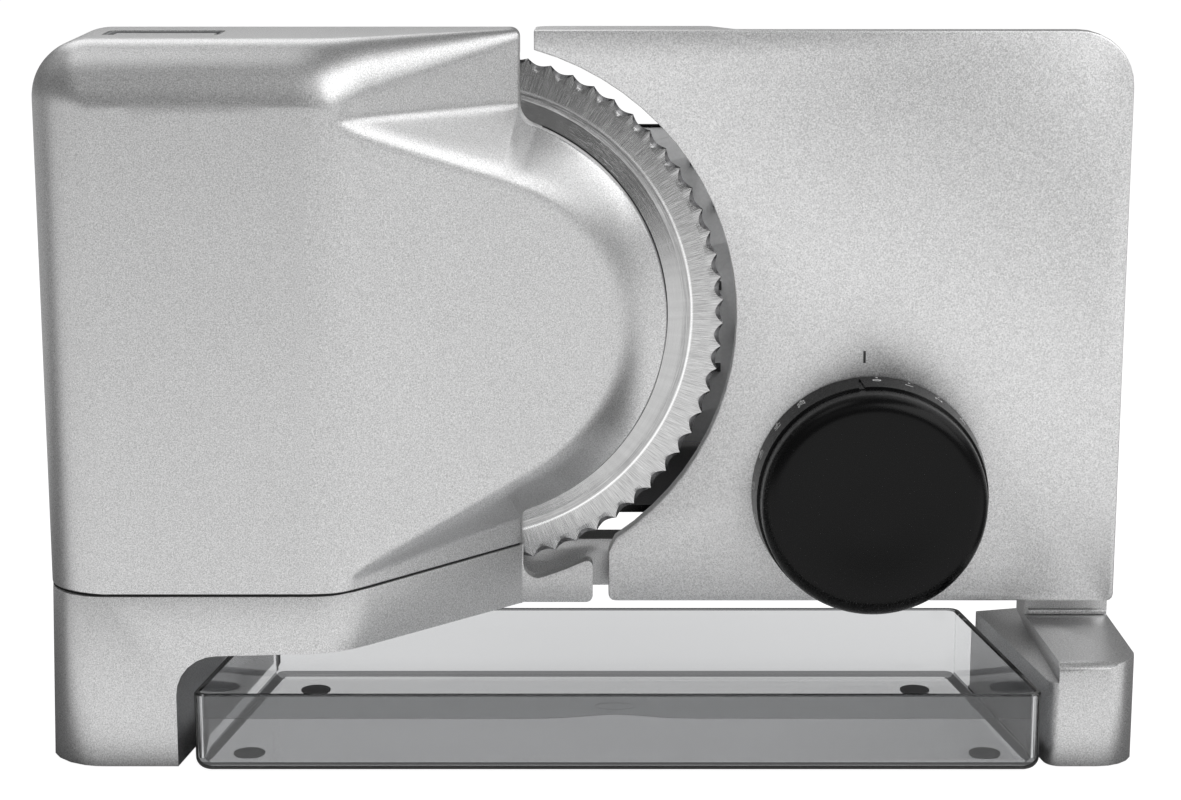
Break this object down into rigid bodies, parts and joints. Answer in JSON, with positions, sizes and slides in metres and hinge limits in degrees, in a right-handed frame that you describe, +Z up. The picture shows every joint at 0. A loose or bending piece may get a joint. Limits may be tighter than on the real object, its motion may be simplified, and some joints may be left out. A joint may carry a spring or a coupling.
{
  "type": "food slicer",
  "caption": "Compact electric food slicer with a serrated round blade, a slanted motor housing, a sliding stop plate set by a thickness knob, a food carriage and a clear collecting tray.",
  "frame": {"origin": "centre of the bounding box's bottom, on the table", "axes": "+X to the right for someone who faces the knob, +Y away from them towards the food side, +Z up"},
  "size_m": [0.3449, 0.177, 0.2273],
  "materials": {
    "silver_paint": "fine silver metallic paint, satin",
    "inner_plastic": "grey moulded, matt",
    "blade_steel": "ground stainless steel with a polished hollow band",
    "machined_steel": "turned steel",
    "bush_brass": "sintered bearing metal",
    "motor_steel": "rolled steel can",
    "copper_winding": "laminated core with enamelled copper",
    "black_plastic": "black satin plastic",
    "smoke_clear": "clear smoke-grey moulded plastic",
    "holder_plastic": "light grey moulded plastic",
    "rubber": "soft black rubber",
    "gear_plastic": "off-white acetal"
  },
  "bodies": {
    "frame": {"base": "silver_paint", "motor_housing": "silver_paint", "back_cover": "silver_paint", "switch_bezel": "inner_plastic", "switch_spring": "machined_steel", "micro_switch": "black_plastic", "cover_screw_1": "machined_steel", "cover_screw_2": "machined_steel", "cover_screw_3": "machined_steel", "cover_screw_4": "machined_steel", "blade_bush": "bush_brass", "motor_can": "motor_steel", "motor_bush_left": "bush_brass", "motor_bush_right": "bush_brass", "worm_end_bush": "bush_brass", "rubber_foot_1": "rubber", "rubber_foot_2": "rubber", "rubber_foot_3": "rubber", "rubber_foot_4": "rubber", "cable_gland": "rubber", "cam_bar": "machined_steel", "cam_pin": "machined_steel"},
    "blade_drive": {"blade": "blade_steel", "blade_shaft": "machined_steel", "drive_gear": "gear_plastic", "blade_lock": "machined_steel"},
    "motor_rotor": {"motor_armature": "copper_winding", "cooling_fan": "black_plastic", "worm_shaft": "machined_steel"},
    "switch": {"switch_button": "silver_paint"},
    "plate": {"stop_plate": "silver_paint", "plate_lining": "machined_steel", "guide_rod_left": "machined_steel", "guide_rod_right": "machined_steel"},
    "knob": {"thickness_knob": "black_plastic", "cam_drum": "gear_plastic"},
    "tray": {"collecting_tray": "smoke_clear"},
    "carriage": {"carriage_floor": "black_plastic", "pusher_wall": "silver_paint"},
    "holder": {"food_holder": "holder_plastic", "holder_grip": "black_plastic"}
  },
  "joints": [
    {"name": "blade_spin", "type": "hinge", "parent": "frame", "child": "blade_drive", "pos_m": [-0.04265, -0.021, 0.1344], "axis": [0, 1, 0], "continuous": true},
    {"name": "motor_spin", "type": "hinge", "parent": "frame", "child": "motor_rotor", "pos_m": [-0.04265, -0.04355, 0.1064], "axis": [1, 0, 0], "continuous": true},
    {"name": "switch_slide", "type": "slide", "parent": "frame", "child": "switch", "axis": [0, 0, -1], "range_m": [0, 0.0025], "stiffness_N_per_m": 300, "springref_m": -0.002, "deforming": ["switch_spring"]},
    {"name": "plate_slide", "type": "slide", "parent": "frame", "child": "plate", "axis": [0, -1, 0], "range_m": [0, 0.019]},
    {"name": "knob_turn", "type": "hinge", "parent": "plate", "child": "knob", "pos_m": [0.09105, -0.029, 0.0763], "axis": [0, -1, 0], "range_deg": [0, 321]},
    {"name": "tray_slide", "type": "slide", "parent": "frame", "child": "tray", "axis": [0, -1, 0], "range_m": [0, 0.12]},
    {"name": "carriage_slide", "type": "slide", "parent": "frame", "child": "carriage", "axis": [1, 0, 0], "range_m": [-0.085, 0.04]},
    {"name": "holder_slide", "type": "slide", "parent": "carriage", "child": "holder", "axis": [0, -1, 0], "range_m": [0, 0.078]}
  ],
  "couplings": [
    {"joint": "motor_spin", "follows": "blade_spin", "ratio": 30},
    {"joint": "knob_turn", "follows": "plate_slide", "rad_per_m": 294.87}
  ]
}
